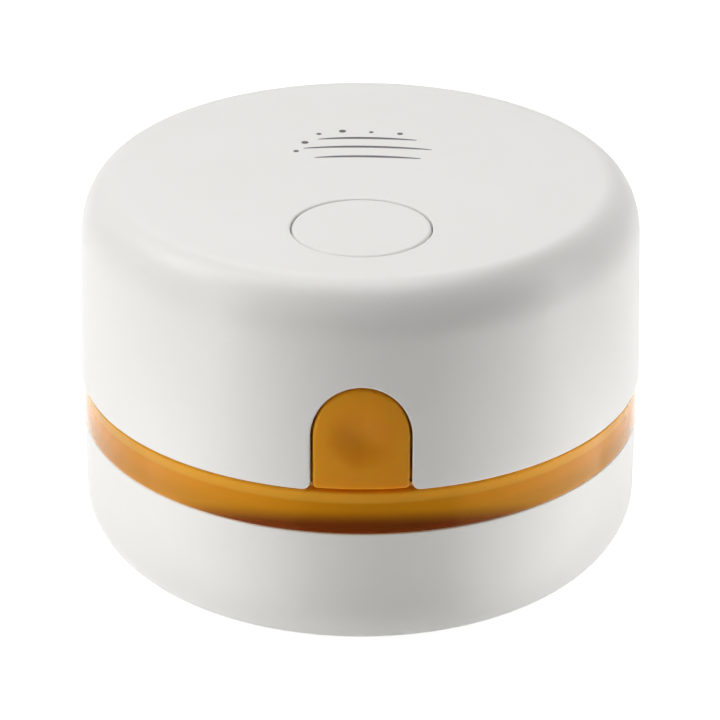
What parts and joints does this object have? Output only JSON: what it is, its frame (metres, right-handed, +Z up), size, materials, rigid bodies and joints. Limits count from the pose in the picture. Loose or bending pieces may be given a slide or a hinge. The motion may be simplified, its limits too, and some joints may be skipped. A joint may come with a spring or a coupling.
{
  "type": "desktop mini vacuum cleaner",
  "caption": "Round tabletop crumb vacuum: white power unit with push button and amber release tab, on a clear amber dust cup in a white base with bristle arcs and a central inlet.",
  "frame": {"origin": "on the floor under the middle of the round body", "axes": "+Z up, -Y out of the front with the amber tab, +X to the right of someone who faces the front"},
  "size_m": [0.085, 0.0849, 0.06],
  "materials": {
    "white_shell": "satin moulded",
    "white_frame": "matte moulded",
    "clear_amber": "clear polished",
    "amber_tab": "satin moulded",
    "grey_plastic": "matte moulded",
    "black_nylon": "matte moulded",
    "bristle": "drawn strands",
    "silicone": "matte moulded",
    "filter_paper": "pleated",
    "foam": "closed cell",
    "zinc_steel": "zinc plated",
    "motor_steel": "drawn and plated",
    "spring_steel": "rolled strip",
    "nickel": "nickel plated",
    "cell_wrap": "shrink film",
    "laminate": "solder mask",
    "red_pvc": "extruded",
    "black_pvc": "extruded"
  },
  "bodies": {
    "dust_box": {"dust_cup": "clear_amber", "base_ring": "white_shell", "brush_plate": "grey_plastic", "brush_strip_1": "bristle", "brush_strip_2": "bristle", "brush_strip_3": "bristle", "brush_strip_4": "bristle", "glide_foot_1": "silicone", "glide_foot_2": "silicone", "glide_foot_3": "silicone", "glide_foot_4": "silicone", "base_screw_1": "zinc_steel", "base_screw_2": "zinc_steel", "base_screw_3": "zinc_steel"},
    "power_unit": {"top_shell": "white_shell", "inner_frame": "white_frame", "fan_cover": "grey_plastic", "motor_can": "motor_steel", "motor_end_cap": "black_nylon", "motor_pad": "foam", "frame_screw_1": "zinc_steel", "frame_screw_2": "zinc_steel", "frame_screw_3": "zinc_steel", "frame_screw_4": "zinc_steel", "cover_screw_1": "zinc_steel", "cover_screw_2": "zinc_steel", "cover_screw_3": "zinc_steel", "motor_screw_1": "zinc_steel", "motor_screw_2": "zinc_steel", "latch_screw": "zinc_steel", "latch_spring": "spring_steel", "battery_cell": "cell_wrap", "battery_tab_1": "nickel", "battery_tab_2": "nickel", "charge_board": "laminate", "usb_socket": "nickel", "push_switch": "black_nylon", "motor_lead_red": "red_pvc", "motor_lead_black": "black_pvc", "battery_lead_red": "red_pvc", "battery_lead_black": "black_pvc"},
    "filter": {"filter_frame": "grey_plastic", "filter_media": "filter_paper", "filter_gasket": "silicone"},
    "fan_rotor": {"impeller": "black_nylon", "motor_shaft": "motor_steel"},
    "power_push": {"power_button": "white_shell", "switch_plunger": "black_nylon"},
    "release_push": {"release_button": "amber_tab"}
  },
  "joints": [
    {"name": "unit_lift", "type": "slide", "parent": "dust_box", "child": "power_unit", "axis": [0, 0, 1], "range_m": [0, 0.045]},
    {"name": "filter_pull", "type": "slide", "parent": "power_unit", "child": "filter", "axis": [0, 0, -1], "range_m": [0, 0.007]},
    {"name": "fan_spin", "type": "hinge", "parent": "power_unit", "child": "fan_rotor", "pos_m": [0, 0, 0.0346], "axis": [0, 0, 1], "continuous": true},
    {"name": "power_press", "type": "slide", "parent": "power_unit", "child": "power_push", "axis": [0, 0, -1], "range_m": [0, 0.0015], "stiffness_N_per_m": 800, "springref_m": -0.001},
    {"name": "release_press", "type": "slide", "parent": "power_unit", "child": "release_push", "axis": [0, 1, 0], "range_m": [0, 0.001], "stiffness_N_per_m": 1500, "springref_m": -0.0005, "deforming": ["latch_spring"]}
  ]
}
